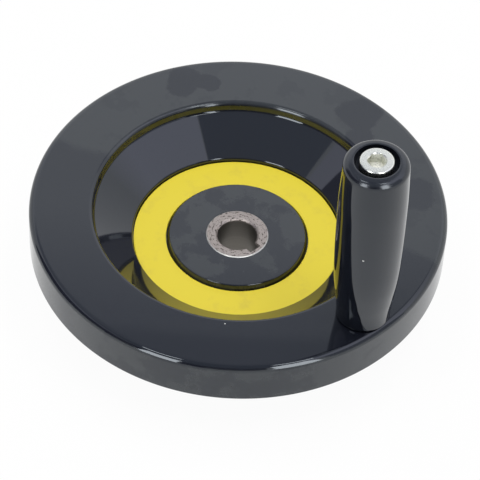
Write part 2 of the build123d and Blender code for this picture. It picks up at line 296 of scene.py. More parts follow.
def round_corners(corners, rounds):
    """Rounds corners of a closed outline.

    rounds maps the number of a corner to its radius and segments.
    """
    for number, (radius, segments) in rounds.items():
        before = Vector(corners[number - 1])
        corner = Vector(corners[number])
        after = Vector(corners[(number + 1) % len(corners)])
        turn = (corner - before).angle(after - corner)
        pick(near(*corner))
        bpy.ops.mesh.bevel(
            offset=radius * math.tan(turn / 2),
            offset_type="OFFSET",
            segments=segments,
            profile=0.5,
            affect="VERTICES",
            clamp_overlap=False,
        )


def turn_outline(steps, sweep=2 * math.pi, copies=False):
    """Turns the whole outline about the vertical axis, or sets copies of the piece around it."""
    bpy.ops.mesh.select_all(action="SELECT")
    bpy.ops.mesh.spin(steps=steps, angle=sweep, dupli=copies, center=(0, 0, 0), axis=(0, 0, 1))


def tidy_skin():
    """Joins touching points and turns every face outwards."""
    bpy.ops.mesh.select_all(action="SELECT")
    bpy.ops.mesh.remove_doubles(threshold=TOUCH)
    bpy.ops.mesh.normals_make_consistent(inside=False)
    bpy.ops.mesh.select_all(action="DESELECT")


def turned_piece(name, corners, rounds, steps):
    """Piece turned from a closed outline of (radius, height) corners."""
    piece = start_outline(name, corners[0])
    draw_outline([*corners, corners[0]])
    close_outline()
    round_corners(corners, rounds)
    turn_outline(steps)
    tidy_skin()
    bpy.ops.object.mode_set(mode="OBJECT")
    return piece


def move_piece(piece, offset):
    """Moves the points of a piece, so that its own origin stays at the shaft axis."""
    make_active(piece)
    bpy.ops.object.mode_set(mode="EDIT")
    bpy.ops.mesh.select_all(action="SELECT")
    bpy.ops.transform.translate(value=offset)
    bpy.ops.object.mode_set(mode="OBJECT")


def make_active(piece):
    deselect()
    piece.select_set(True)
    bpy.context.view_layer.objects.active = piece


def prism(name, sides, corner_r, low_z, high_z, centre_x=0.0, corner_angle=0.0, top_r=None):
    """Upright prism or cone with one corner at the given angle."""
    deselect()
    bpy.ops.mesh.primitive_cone_add(
        vertices=sides,
        radius1=corner_r,
        radius2=corner_r if top_r is None else top_r,
        depth=high_z - low_z,
        location=(centre_x, 0, (low_z + high_z) / 2),
        rotation=(0, 0, corner_angle - math.pi / 2),
    )
    bpy.ops.object.transform_apply(location=True, rotation=True, scale=True)
    piece = bpy.context.active_object
    piece.name = name
    return piece


def combine(piece, other, operation):
    """Joins another closed piece to this one, or cuts it away."""
    make_active(piece)
    change = piece.modifiers.new("combine", "BOOLEAN")
    change.operation = operation
    change.solver = "EXACT"
    change.object = other
    bpy.ops.object.modifier_apply(modifier=change.name)
    bpy.data.objects.remove(other)


def smooth_piece(piece, sharp_angle=35):
    """Smooth shading up to a sharp angle, with the flat faces kept flat."""
    make_active(piece)
    bpy.ops.object.shade_smooth_by_angle(angle=math.radians(sharp_angle))
    even = piece.modifiers.new("flat faces", "WEIGHTED_NORMAL")
    even.mode = "FACE_AREA_WITH_ANGLE"
    even.weight = 100
    even.keep_sharp = True
    bpy.ops.object.modifier_apply(modifier=even.name)


def fit_piece(piece, node, body, material):
    """Puts the finished piece in the place of its CAD node, on its body and with its finish."""
    piece.data.materials.clear()
    piece.data.materials.append(material)
    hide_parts(node)
    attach(piece, body)


# ---------------------------------------------------------------- finishes


class Plan:
    """Lays out the nodes of one material or world."""

    def __init__(self, holder):
        holder.use_nodes = True
        self.nodes = holder.node_tree.nodes
        self.links = holder.node_tree.links

    def node(self, kind, inputs=(), **settings):
        """New node, with each input set to a value or linked to the output of another node."""
        made = self.nodes.new("ShaderNode" + kind)
        for name, value in settings.items():
            setattr(made, name, value)
        for socket, value in dict(inputs).items():
            if isinstance(value, bpy.types.NodeSocket):
                self.links.new(value, made.inputs[socket])
            else:
                made.inputs[socket].default_value = value
        return made

    def number(self, operation, first, second):
        """Result of one step of arithmetic on two numbers."""
        return self.node("Math", {0: first, 1: second}, operation=operation).outputs[0]

    def vector(self, operation, first, second, result=0):
        """Result of one step of arithmetic on two vectors."""
        made = self.node("VectorMath", {0: first, 1: second}, operation=operation)
        return made.outputs[result]

    def blend(self, share, first, second):
        """Blends two shaders by a share."""
        return self.node("MixShader", {0: share, 1: first, 2: second}).outputs[0]


class Finish(Plan):
    """Lays out one procedural material around its shader."""

    def __init__(self, name):
        self.material = bpy.data.materials.new(name)
        super().__init__(self.material)
        self.shader = self.nodes["Principled BSDF"]
        self.place = self.node("TexCoord").outputs["Object"]

    def set(self, socket, value):
        self.shader.inputs[socket].default_value = value

    def use(self, socket, value):
        self.links.new(value, self.shader.inputs[socket])

    def noise(self, size, detail=2.0, roughness=0.5, place=None):
        """Cloudy pattern whose patches are about this big."""
        inputs = {"Vector": place or self.place, "Scale": 1 / size}
        inputs.update({"Detail": detail, "Roughness": roughness})
        return self.node("TexNoise", inputs).outputs["Fac"]

    def between(self, value, low, high, to_low=0.0, to_high=1.0):
        """Remaps a value so that low and high become to_low and to_high."""
        inputs = {"Value": value, "From Min": low, "From Max": high}
        inputs.update({"To Min": to_low, "To Max": to_high})
        made = self.node("MapRange", inputs, interpolation_type="SMOOTHSTEP")
        return made.outputs["Result"]

    def past(self, value, edge, soft):
        """One where a value is past an edge, and nothing well before it."""
        return self.between(value, edge - soft, edge + soft)

    def mix(self, share, first, second):
        """Mixes two colours by a share."""
        mixed = self.node("Mix", {"Factor": share}, data_type="RGBA")
        for socket, value in ((6, first), (7, second)):
            if isinstance(value, bpy.types.NodeSocket):
                self.links.new(value, mixed.inputs[socket])
            else:
                mixed.inputs[socket].default_value = (*value, 1)
        return mixed.outputs[2]

    def spot(self, centre, radius, place=None, softness=0.3):
        """One where the surface is within a radius of a point, and nothing elsewhere."""
        away = self.vector("DISTANCE", place or self.place, centre, "Value")
        return self.less(self.past(away, radius, radius * softness))

    def facing(self, turn):
        """One where the surface faces this way, given in degrees about the vertical axis."""
        normal = self.node("TexCoord").outputs["Normal"]
        way = (math.cos(math.radians(turn)), math.sin(math.radians(turn)), 0)
        return self.between(self.vector("DOT_PRODUCT", normal, way, "Value"), 0.8, 0.95)

    def times(self, first, second):
        return self.number("MULTIPLY", first, second)

    def less(self, value):
        """What is left of one."""
        return self.number("SUBTRACT", 1.0, value)

    def from_axis(self):
        """Distance from the axis of the wheel, bearing around it, and height above its rear."""
        x, y, height = self.node("SeparateXYZ", {0: self.place}).outputs
        flat = self.node("CombineXYZ", {0: x, 1: y}).outputs[0]
        radius = self.node("VectorMath", {0: flat}, operation="LENGTH").outputs["Value"]
        return radius, self.number("ARCTAN2", y, x), height

    def ragged_place(self, size, reach):
        """Place shifted to and fro by a cloudy pattern, which makes the edge of a patch ragged."""
        inputs = {"Vector": self.place, "Scale": 1 / size, "Detail": 5.0}
        cloud = self.node("TexNoise", inputs).outputs["Color"]
        centred = self.vector("SUBTRACT", cloud, (0.5, 0.5, 0.5))
        shift = self.node("VectorMath", {0: centred, "Scale": reach}, operation="SCALE")
        return self.vector("ADD", self.place, shift.outputs[0])

    def bump(self, pattern, height):
        """Relief of the surface, in metres."""
        relief = self.node("Bump", {"Height": pattern, "Distance": height})
        self.use("Normal", relief.outputs["Normal"])


def glossy_black(name):
    """Polished phenolic moulding, faintly uneven."""
    finish = Finish(name)
    finish.set("IOR", 1.6)
    finish.set("Specular Tint", (0.86, 0.93, 1.0, 1))
    finish.bump(finish.noise(2.5 * MM), 0.0006 * MM)
    return finish


def wheel_finish(colours):
    """Black moulding, hazed in the dish, with a greyed film of random smudges on its other faces
    and a painted reflection that greys the far side of the rim face.
    """
    finish = glossy_black("black_moulding")
    radius, _, height = finish.from_axis()
    patches = finish.between(finish.noise(13 * MM, detail=6, roughness=0.62), 0.44, 0.52)
    # Painted reflection: on the rim face, the far side as the camera sees it is painted a lighter
    # grey and made rougher, except in a few darker gaps.
    ragged = finish.ragged_place(9 * MM, 9 * MM)
    towards = seen_from_camera(*REFLECTION_WAY, 0) - seen_from_camera(0, 0, 0)
    across = finish.vector("DOT_PRODUCT", ragged, towards, "Value")
    far = finish.past(across, REFLECTION_EDGE, 2 * MM)
    for centre, size in REFLECTION_GAPS:
        reflection_gap = finish.spot(Vector(centre) * MM, size * MM, ragged, softness=0.12)
        far = finish.times(far, finish.less(reflection_gap))
    on_rim = finish.past(height, rim_face_z - 0.9 * MM, 0.3 * MM)
    past_disc = finish.past(radius, DISH_INNER_R, 0.3 * MM)
    past_dish = finish.past(radius, DISH_OUTER_R, 0.3 * MM)
    dish = finish.times(past_disc, finish.less(past_dish))
    rim_painted_reflection = finish.times(far, finish.between(patches, 0, 1, 0.7, 1.0))
    # On the rim face the film is only this painted reflection; on the other faces it is random
    # smudges.
    film = finish.node("Mix", {0: on_rim, 2: patches, 3: rim_painted_reflection}).outputs[0]
    film = finish.times(film, finish.less(dish))
    base_colour = finish.mix(dish, colours.moulding, colours.moulding_dish)
    base_colour = finish.mix(film, base_colour, colours.moulding_film_and_reflection)
    base_colour = finish.mix(finish.spot(SPECK_ON_RIM, 0.16 * MM), base_colour, colours.dust)
    finish.use("Base Color", base_colour)
    finish.use("Roughness", finish.between(film, 0, 1, 0.04, 0.12))
    return finish.material


def grip_finish(colours):
    """Black grip, polished on its flank and duller on its end face, with one speck of dust."""
    finish = glossy_black("black_grip")
    height = finish.from_axis()[2]
    dust = finish.spot(SPECK_ON_GRIP, 0.3 * MM)
    finish.use("Base Color", finish.mix(dust, colours.grip, colours.dust))
    flank_end_z = grip_end_z - 4 * MM
    duller_z = grip_end_z - 2.4 * MM
    finish.use("Roughness", finish.between(height, flank_end_z, duller_z, 0.06, 0.2))
    return finish.material


def ring_finish(colours):
    """Matt yellow ring with a slight mottle."""
    finish = Finish("ring_yellow")
    finish.set("IOR", 1.5)
    patches = finish.between(finish.noise(6 * MM, detail=4, roughness=0.65), 0.5, 0.78)
    finish.use("Base Color", finish.mix(patches, colours.ring, colours.ring_dull))
    finish.set("Roughness", 0.55)
    return finish.material


def turned_steel_finish(colours):
    """Turned steel with fine rings and dark streaks, a bright outer edge that is partly worn and
    partly a painted highlight, and painted shade below the top of the bush, seen in the bore.
    """
    finish = Finish("bush_steel")
    finish.set("Metallic", 1.0)
    radius, bearing, height = finish.from_axis()
    across = finish.node("CombineXYZ", {0: radius, 2: height}).outputs[0]
    rings = finish.noise(0.16 * MM, detail=3, place=across)
    around = finish.times(bearing, bush_r / 3)
    unrolled = finish.node("CombineXYZ", {0: radius, 1: around, 2: height}).outputs[0]
    streaks = finish.noise(0.5 * MM, detail=4, roughness=0.7, place=unrolled)
    speckle = finish.between(streaks, 0.53, 0.6)
    base_colour = finish.mix(speckle, colours.bush, colours.bush_dark)
    # Bright outer edge: partly worn steel, partly a painted highlight on the chamfer.
    worn_edge_and_highlight = finish.past(radius, bush_r - 0.325 * MM, 0.075 * MM)
    base_colour = finish.mix(worn_edge_and_highlight, base_colour, colours.bush_edge_and_highlight)
    # Painted shade: the bush is darker below its top millimetre, which shows in the bore.
    bore_painted_shade = finish.less(finish.past(height, hub_length - MM, 0.4 * MM))
    finish.use("Base Color", finish.mix(bore_painted_shade, base_colour, colours.bore))
    finish.use("Roughness", finish.between(rings, 0.3, 0.7, 0.36, 0.52))
    finish.bump(rings, 0.004 * MM)
    return finish.material


def plated_finish(colours):
    """Bright zinc plate; in the socket, olive walls with painted shade deeper down and on one wall,
    and painted light on a bright floor.
    """
    finish = Finish("spindle_zinc")
    height = finish.from_axis()[2]
    deep = finish.number("SUBTRACT", spindle_end_z, height)
    below_face = finish.past(deep, 0.2 * MM, 0.15 * MM)
    head_middle = Vector((grip_axis_x, 0, spindle_end_z))
    inside_head = finish.spot(head_middle, SOCKET_REACH, softness=0.02)
    socket = finish.times(below_face, inside_head)
    # Painted shade darkens the walls deeper in the socket and on the wall facing
    # SOCKET_SHADED_WALL; painted light brightens the floor.
    deep_wall_shade = finish.between(deep, 0.8 * MM, 2.2 * MM, 0.0, 0.6)
    inside = finish.mix(deep_wall_shade, colours.spindle_tint, colours.socket_painted_shade)
    inside = finish.mix(finish.facing(SOCKET_SHADED_WALL), inside, colours.socket_painted_shade)
    inside = finish.mix(finish.past(deep, 3.4 * MM, 0.1 * MM), inside, colours.socket_floor_painted_light)
    finish.use("Base Color", finish.mix(socket, colours.spindle, inside))
    finish.use("Metallic", finish.between(socket, 0, 1, 1.0, 0.3))
    cloud = finish.noise(0.8 * MM, detail=4)
    finish.use("Roughness", finish.between(cloud, 0.3, 0.7, 0.24, 0.34))
    return finish.material


def brass_finish(colours):
    """Plain brass of the insert."""
    finish = Finish("insert_brass")
    finish.set("Metallic", 1.0)
    finish.set("Roughness", 0.3)
    finish.set("Base Color", (*colours.insert, 1))
    return finish.material


# ---------------------------------------------------------------- pieces


def ripple_reach(turn, root_r, sizes):
    """Radius of the rippled wall at an angle from the middle of the nearest ripple."""
    half = math.pi / sizes.ripple_count
    turn = abs((turn + half) % (2 * half) - half)
    centre_r = root_r - sizes.ripple_radius
    crest_reach = sizes.ripple_radius + sizes.ripple_crest_round
    crest_rise = math.sqrt(crest_reach**2 - (centre_r * math.sin(half)) ** 2)
    crest_centre_r = centre_r * math.cos(half) + crest_rise
    crest_along = crest_centre_r * math.cos(half) - centre_r
    crest_start = math.atan2(
        crest_centre_r * math.sin(half) * sizes.ripple_radius / crest_reach,
        centre_r + crest_along * sizes.ripple_radius / crest_reach,
    )
    if turn < crest_start:
        off_ripple = centre_r * math.sin(turn)
        return centre_r * math.cos(turn) + math.sqrt(sizes.ripple_radius**2 - off_ripple**2)
    off_crest = crest_centre_r * math.sin(half - turn)
    crest_bulge = math.sqrt(sizes.ripple_crest_round**2 - off_crest**2)
    return crest_centre_r * math.cos(half - turn) - crest_bulge


def wheel_outline(sizes, ring_inner_r):
    """Corners of the turned section of the wheel, and the rounding of each."""
    hub_face_z = hub_length - sizes.hub_set_back
    channel_floor_z = rim_face_z - sizes.rim_top_wall
    skirt_edge_z = rim_face_z - sizes.rim_thickness
    web_back_z = groove_floor_z - sizes.web_wall
    lip_foot_z = rim_face_z - sizes.lip_depth
    skirt_taper = math.tan(sizes.skirt_draft)
    rim_corner_r = rim_edge_r + sizes.rim_round * skirt_taper
    skirt_edge_r = rim_corner_r - sizes.rim_thickness * skirt_taper
    root_r = skirt_edge_r - sizes.skirt_wall
    lip_foot_r = rim_edge_r - sizes.rim_width
    lip_top_r = lip_foot_r + sizes.lip_depth * math.tan(sizes.lip_draft)
    disc_r = ring_inner_r - sizes.ring_gap
    disc_top_r = disc_r - (hub_face_z - groove_floor_z) * math.tan(sizes.disc_draft)
    groove_r = ring_outer_r + sizes.ring_gap
    cone_slope = math.tan(sizes.cone_angle)
    groove_edge_z = lip_foot_z - (lip_foot_r - groove_r) * cone_slope
    back_drop = sizes.dish_wall / math.cos(sizes.cone_angle)
    channel_inner_r = lip_foot_r + (channel_floor_z - lip_foot_z + back_drop) / cone_slope
    cone_back_r = lip_foot_r + (web_back_z - lip_foot_z + back_drop) / cone_slope
    boss_r = sizes.boss_diameter / 2
    boss_root_r = boss_r + web_back_z * math.tan(sizes.boss_draft)
    corners = [
        (bush_r, hub_face_z),
        (disc_top_r, hub_face_z),
        (disc_r, groove_floor_z),
        (groove_r, groove_floor_z),
        (groove_r, groove_edge_z),
        (lip_foot_r, lip_foot_z),
        (lip_top_r, rim_face_z),
        (rim_corner_r, rim_face_z),
        (skirt_edge_r, skirt_edge_z),
        (root_r, skirt_edge_z),
        (root_r, channel_floor_z),
        (channel_inner_r, channel_floor_z),
        (cone_back_r, web_back_z),
        (boss_root_r, web_back_z),
        (boss_r, 0),
        (bush_r, 0),
    ]
    rounds = {
        1: (sizes.disc_round, 8),
        4: (sizes.groove_edge_round, 5),
        5: (sizes.lip_foot_round, 6),
        6: (sizes.lip_round, 10),
        7: (sizes.rim_round, 12),
        8: (sizes.skirt_edge_round, 5),
        9: (sizes.skirt_inner_round, 2),
        10: (sizes.channel_round, 3),
        11: (sizes.channel_round, 3),
        12: (sizes.cone_back_round, 6),
        13: (sizes.boss_root_round, 3),
        14: (sizes.boss_edge_round, 3),
    }
    return corners, rounds, root_r, channel_floor_z


def ripple_wall(sizes, root_r, channel_floor_z):
    """Moves the inside of the skirt in, column by column, to the shape of one finger ripple."""
    sector = 2 * math.pi / sizes.ripple_count
    reach_in = root_r - sizes.channel_round - 0.1 * MM
    reach_out = root_r + sizes.skirt_inner_round + 0.1 * MM
    half_step = sector / sizes.ripple_steps / 2
    for column in range(1, sizes.ripple_steps):
        turn = sector * column / sizes.ripple_steps

        def in_column(place):
            radius = math.hypot(place.x, place.y)
            beside = abs(abs(math.atan2(place.y, place.x)) - turn)
            on_wall = reach_in < radius < reach_out and place.z < channel_floor_z + TOUCH
            return beside < half_step and on_wall

        pick(in_column)
        inward = ripple_reach(turn, root_r, sizes) - root_r
        bpy.ops.transform.translate(value=(inward * math.cos(turn), -inward * math.sin(turn), 0))


class HANDWHEEL_OT_wheel_body(Operator):
    """Moulded wheel: hub, ring groove, dish, rim and the rippled finger channel behind it"""

    bl_idname = "handwheel.wheel_body"
    bl_label = "Wheel body"
    bl_options = {"REGISTER", "UNDO"}

    def execute(self, context):
        sizes = context.scene.wheel_sizes
        ring_inner_r = context.scene.hub_sizes.ring_inner_diameter / 2
        corners, rounds, root_r, channel_floor_z = wheel_outline(sizes, ring_inner_r)
        sector = 2 * math.pi / sizes.ripple_count
        wheel = start_outline("wheel_body_look", corners[0])
        draw_outline([*corners, corners[0]])
        close_outline()
        round_corners(corners, rounds)
        turn_outline(sizes.ripple_steps, sector)
        ripple_wall(sizes, root_r, channel_floor_z)
        turn_outline(sizes.ripple_count - 1, 2 * math.pi - sector, copies=True)
        tidy_skin()
        bpy.ops.object.mode_set(mode="OBJECT")
        boss_low = insert_end_z - sizes.insert_end_wall
        boss_high = channel_floor_z + sizes.rim_top_wall / 2
        boss_r = insert_corner_r + sizes.insert_boss_wall
        boss = prism("insert boss", BOSS_STEPS, boss_r, boss_low, boss_high, grip_axis_x)
        combine(wheel, boss, "UNION")
        pocket_top = rim_face_z + MM
        pocket = prism("insert pocket", 6, insert_corner_r, insert_end_z, pocket_top, grip_axis_x)
        combine(wheel, pocket, "DIFFERENCE")
        smooth_piece(wheel)
        colours = context.scene.finishes
        fit_piece(wheel, "wheel_body", "wheel", wheel_finish(colours))
        return {"FINISHED"}


class HANDWHEEL_OT_hub_bush(Operator):
    """Turned steel bush with its keyway, chamfers and two nicks in the front edge"""

    bl_idname = "handwheel.hub_bush"
    bl_label = "Hub bush"
    bl_options = {"REGISTER", "UNDO"}

    def execute(self, context):
        sizes = context.scene.hub_sizes
        bore_r = sizes.bore_diameter / 2
        mouth_r = bore_r + sizes.bore_chamfer
        face_r = bush_r - sizes.edge_chamfer
        corners = [
            (bore_r, sizes.bore_chamfer),
            (mouth_r, 0),
            (face_r, 0),
            (bush_r, sizes.edge_chamfer),
            (bush_r, hub_length - sizes.edge_chamfer),
            (face_r, hub_length),
            (mouth_r, hub_length),
            (bore_r, hub_length - sizes.bore_chamfer),
        ]
        edge = (sizes.edge_wear, 2)
        bush = turned_piece("hub_bush_look", corners, {4: edge, 5: edge, 6: edge}, BUSH_STEPS)
        keyway_floor = sizes.keyway_height - bore_r
        deselect()
        bpy.ops.mesh.primitive_cube_add(
            size=1,
            location=(keyway_floor / 2, 0, hub_length / 2),
            scale=(keyway_floor, sizes.keyway_width, 1),
        )
        bpy.ops.object.transform_apply(location=True, rotation=True, scale=True)
        combine(bush, bpy.context.active_object, "DIFFERENCE")
        for turn in NICK_TURNS:
            cut_nick(bush, math.radians(turn), sizes.nick_size)
        smooth_piece(bush, 25)
        material = turned_steel_finish(context.scene.finishes)
        fit_piece(bush, "hub_bush", "wheel", material)
        return {"FINISHED"}


def cut_nick(bush, turn, radius):
    """Cuts a small round nick into the front outer edge of the bush."""
    place = (bush_r * math.cos(turn), bush_r * math.sin(turn), hub_length)
    deselect()
    bpy.ops.mesh.primitive_ico_sphere_add(subdivisions=3, radius=radius, location=place)
    bpy.ops.object.transform_apply(location=True, rotation=True, scale=True)
    combine(bush, bpy.context.active_object, "DIFFERENCE")


class HANDWHEEL_OT_colour_ring(Operator):
    """Flat colour ring in the groove around the hub"""

    bl_idname = "handwheel.colour_ring"
    bl_label = "Colour ring"
    bl_options = {"REGISTER", "UNDO"}

    def execute(self, context):
        sizes = context.scene.hub_sizes
        inner_r = sizes.ring_inner_diameter / 2
        corners = [
            (inner_r, groove_floor_z),
            (ring_outer_r, groove_floor_z),
            (ring_outer_r, ring_face_z),
            (inner_r, ring_face_z),
        ]
        edge = (sizes.ring_edge, 3)
        ring = turned_piece("colour_ring_look", corners, {2: edge, 3: edge}, RING_STEPS)
        smooth_piece(ring)
        fit_piece(ring, "colour_ring", "wheel", ring_finish(context.scene.finishes))
        return {"FINISHED"}


class HANDWHEEL_OT_handle_insert(Operator):
    """Brass finish on the insert that takes the thread of the spindle"""

    bl_idname = "handwheel.handle_insert"
    bl_label = "Handle insert"
    bl_options = {"REGISTER", "UNDO"}

    def execute(self, context):
        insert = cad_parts["handle_insert"]
        insert.data.materials.clear()
        insert.data.materials.append(brass_finish(context.scene.finishes))
        return {"FINISHED"}


class HANDWHEEL_OT_handle_spindle(Operator):
    """Plated spindle with its thread, shank and socket head"""

    bl_idname = "handwheel.handle_spindle"
    bl_label = "Handle spindle"
    bl_options = {"REGISTER", "UNDO"}

    def execute(self, context):
        sizes = context.scene.grip_sizes
        thread_r = sizes.thread_diameter / 2
        shank_r = sizes.spindle_diameter / 2
        head_low = spindle_end_z - sizes.head_height
        corners = [
            (0, thread_end_z),
            (thread_r, thread_end_z),
            (thread_r, rim_face_z),
            (shank_r, rim_face_z),
            (shank_r, head_low),
            (spindle_head_r, head_low),
            (spindle_head_r, spindle_end_z),
            (0, spindle_end_z),
        ]
        rounds = {1: (sizes.thread_edge, 2), 6: (sizes.head_edge, 6)}
        spindle = turned_piece("handle_spindle_look", corners, rounds, SPINDLE_STEPS)
        move_piece(spindle, (grip_axis_x, 0, 0))
        corner_r = sizes.socket_flats / math.sqrt(3)
        floor_z = spindle_end_z - sizes.socket_depth
        above = spindle_end_z + MM
        socket = prism("socket", 6, corner_r, floor_z, above, grip_axis_x, sizes.socket_turn)
        combine(spindle, socket, "DIFFERENCE")
        narrow_r = corner_r - sizes.socket_mouth
        wide_r = corner_r + sizes.socket_mouth
        low = spindle_end_z - sizes.socket_mouth
        high = low + 2 * sizes.socket_mouth
        steps = BOSS_STEPS
        mouth = prism("socket mouth", steps, narrow_r, low, high, grip_axis_x, top_r=wide_r)
        combine(spindle, mouth, "DIFFERENCE")
        smooth_piece(spindle, 30)
        material = plated_finish(context.scene.finishes)
        fit_piece(spindle, "handle_spindle", "wheel", material)
        return {"FINISHED"}


def curve_outline(name, knots, resolution):
    """New piece, open in edit mode, drawn as a smooth curve through its knots.

    Each knot is (radius, height, way in, way out), and None leaves its ways to the curve.
    """
    deselect()
    bpy.ops.curve.primitive_bezier_curve_add()
    piece = bpy.context.active_object
    piece.name = name
    curve = piece.data
    curve.resolution_u = resolution
    spline = curve.splines[0]
    spline.bezier_points.add(len(knots) - len(spline.bezier_points))
    for knot, (radius, height, way_in, way_out) in zip(spline.bezier_points, knots):
        place = Vector((radius, 0, height))
        knot.co = place
        kind = "AUTO" if way_in is None else "FREE"
        knot.handle_left_type = kind
        knot.handle_right_type = kind
        if way_in is not None:
            knot.handle_left = place - Vector((way_in[0], 0, way_in[1]))
            knot.handle_right = place + Vector((way_out[0], 0, way_out[1]))
    bpy.ops.object.convert(target="MESH")
    bpy.ops.object.mode_set(mode="EDIT")
    return piece


class HANDWHEEL_OT_handle_grip(Operator):
    """Barrel grip, bored for the spindle and counterbored for its head"""

    bl_idname = "handwheel.handle_grip"
    bl_label = "Handle grip"
    bl_options = {"REGISTER", "UNDO"}

    def execute(self, context):
        sizes = context.scene.grip_sizes
        base_r = sizes.base_diameter / 2
        shoulder_r = sizes.shoulder_diameter / 2
        mouth_r = sizes.counterbore_diameter / 2
        bore_r = sizes.bore_diameter / 2
        land_r = mouth_r + sizes.end_land
        grip_length = grip_end_z - grip_base_z
        shoulder_z = grip_end_z - (shoulder_r - land_r) * math.tan(sizes.end_slope)
        shoulder = Vector((shoulder_r, shoulder_z))
        up_flank = Vector((-math.sin(sizes.taper), math.cos(sizes.taper)))
        up_end = Vector((-math.cos(sizes.end_slope), math.sin(sizes.end_slope)))
        turn = up_flank.angle(up_end)
        cut_back = sizes.shoulder_round * math.tan(turn / 2)
        pull = sizes.shoulder_round * math.tan(turn / 4) * 4 / 3
        round_start = shoulder - up_flank * cut_back
        round_end = shoulder + up_end * cut_back
        belly_z = grip_base_z + GRIP_BELLY_SHARE * grip_length
        start_z = grip_base_z + sizes.base_edge
        rise = Vector((0, 1))
        first_pull = rise * (GRIP_FLANK[0][0] * grip_length - sizes.base_edge) / 3
        belly_pull_in = rise * (GRIP_BELLY_SHARE - GRIP_FLANK[-1][0]) * grip_length / 3
        belly_pull_out = rise * (round_start.y - belly_z) / 3
        knots = [(base_r, start_z, first_pull, first_pull)]
        for height, swell in GRIP_FLANK:
            radius = base_r + swell * (grip_belly_r - base_r)
            knots.append((radius, grip_base_z + height * grip_length, None, None))
        knots.append((grip_belly_r, belly_z, belly_pull_in, belly_pull_out))
        knots.append((*round_start, up_flank * belly_pull_out.length, up_flank * pull))
        knots.append((*round_end, up_end * pull, up_end * pull))
        grip = curve_outline("handle_grip_look", knots, FLANK_STEPS)
        pick(near(*round_end))
        floor_z = grip_end_z - sizes.counterbore_depth
        edge = sizes.mouth_edge
        foot = sizes.base_edge
        draw_outline(
            [
                tuple(round_end),
                (land_r, grip_end_z),
                (mouth_r + edge, grip_end_z),
                (mouth_r + MID_ROUND * edge, grip_end_z - MID_ROUND * edge),
                (mouth_r, grip_end_z - edge),
                (mouth_r, floor_z),
                (bore_r, floor_z),
                (bore_r, grip_base_z),
                (base_r - foot, grip_base_z),
                (base_r - MID_ROUND * foot, grip_base_z + MID_ROUND * foot),
                (base_r, start_z),
            ]
        )
        close_outline()
        turn_outline(GRIP_STEPS)
        tidy_skin()
        bpy.ops.object.mode_set(mode="OBJECT")
        move_piece(grip, (grip_axis_x, 0, 0))
        smooth_piece(grip)
        colours = context.scene.finishes
        fit_piece(grip, "handle_grip", "grip", grip_finish(colours))
        return {"FINISHED"}


# ---------------------------------------------------------------- stage

VIEW_TURN = math.radians(45.70)  # from the X axis of the wheel to the camera's right
CAMERA_PLACE = (0.50894, -0.49672, 0.80662)
CAMERA_TURN = (41.9025, -2.0803, 47.9396)  # degrees
CAMERA_LENS = 264.94
CAMERA_FILM = 36
CAMERA_REACH = 20

TABLE_SIZE = 6
TABLE_DROP = 0.2 * MM  # below the rear of the hub
TABLE_PAPER = 0.95
TABLE_GLOW = 0.96  # share of plain white where the table is seen
SURROUND_LIGHT = 0.42

CEILING_HEIGHT = 0.8
CEILING_SIZE = (0.18, 0.8)
CEILING_BRIGHTNESS = 7.0
LAMP_GLOW = (7.0, 7.0, 7.0)
LAMP_WIDTH = 0.175


def seen_from_camera(right, away, height):
    """Place to the right of, behind and above the middle of the rim, as the camera sees it."""
    side = math.cos(VIEW_TURN) * right - math.sin(VIEW_TURN) * away
    front = math.sin(VIEW_TURN) * right + math.cos(VIEW_TURN) * away
    return Vector((side, front, rim_face_z + height))


def ceiling_lamp(name, right, away, turn):
    """Long soft lamp that hangs flat overhead and lights the scene without showing in the gloss."""
    place = seen_from_camera(right, away, CEILING_HEIGHT)
    bpy.ops.object.light_add(type="AREA", location=place)
    lamp = bpy.context.active_object
    lamp.name = name
    lamp.rotation_euler = (0, 0, VIEW_TURN + math.radians(turn))
    lamp.data.shape = "RECTANGLE"
    lamp.data.size, lamp.data.size_y = CEILING_SIZE
    lamp.data.energy = CEILING_BRIGHTNESS * math.pi * lamp.data.size * lamp.data.size_y
    lamp.visible_glossy = False


def empty_plan(holder):
    """Plan of a material or world without its first nodes."""
    plan = Plan(holder)
    plan.nodes.clear()
    return plan


def card_finish(name, glow, fade=None):
    """Even glow of a card, which can fade out between two distances along its own Y."""
    material = bpy.data.materials.new(name)
    plan = empty_plan(material)
    light = plan.node("Emission", {"Color": (*glow, 1)}).outputs[0]
    if fade:
        place = plan.node("TexCoord").outputs["Object"]
        along = plan.node("SeparateXYZ", {0: place}).outputs["Y"]
        inputs = {"Value": along, "From Min": fade[0], "From Max": fade[1]}
        share = plan.node("MapRange", inputs).outputs[0]
        light = plan.blend(share, light, plan.node("BsdfTransparent").outputs[0])
    plan.node("OutputMaterial", {0: light})
    return material


def show_in_gloss_only(card, name, material):
    """Card of the studio that shows in reflections, casts no shadow and isn't seen directly."""
    card.name = name
    card.data.materials.clear()
    card.data.materials.append(material)
    card.visible_camera = False
    card.visible_diffuse = False
    card.visible_shadow = False
    card.visible_transmission = False


def flat_card(name, place, turn, width, depth, material):
    """Flat card at a place, turned to its own axes."""
    deselect()
    bpy.ops.mesh.primitive_plane_add(size=1, location=place, rotation=turn)
    card = bpy.context.active_object
    card.scale = (width, depth, 1)
    bpy.ops.object.transform_apply(location=False, rotation=False, scale=True)
    show_in_gloss_only(card, name, material)


def strip_card(name, top, bottom, material):
    """Strip between two places as the camera sees them, facing the wheel."""
    top = seen_from_camera(*top)
    bottom = seen_from_camera(*bottom)
    middle = (top + bottom) / 2
    along = (top - bottom).normalized()
    outward = (middle - seen_from_camera(0, 0, 0)).normalized()
    axes = Matrix((along.cross(outward), along, outward)).transposed()
    flat_card(name, middle, axes.to_euler(), LAMP_WIDTH, (top - bottom).length, material)


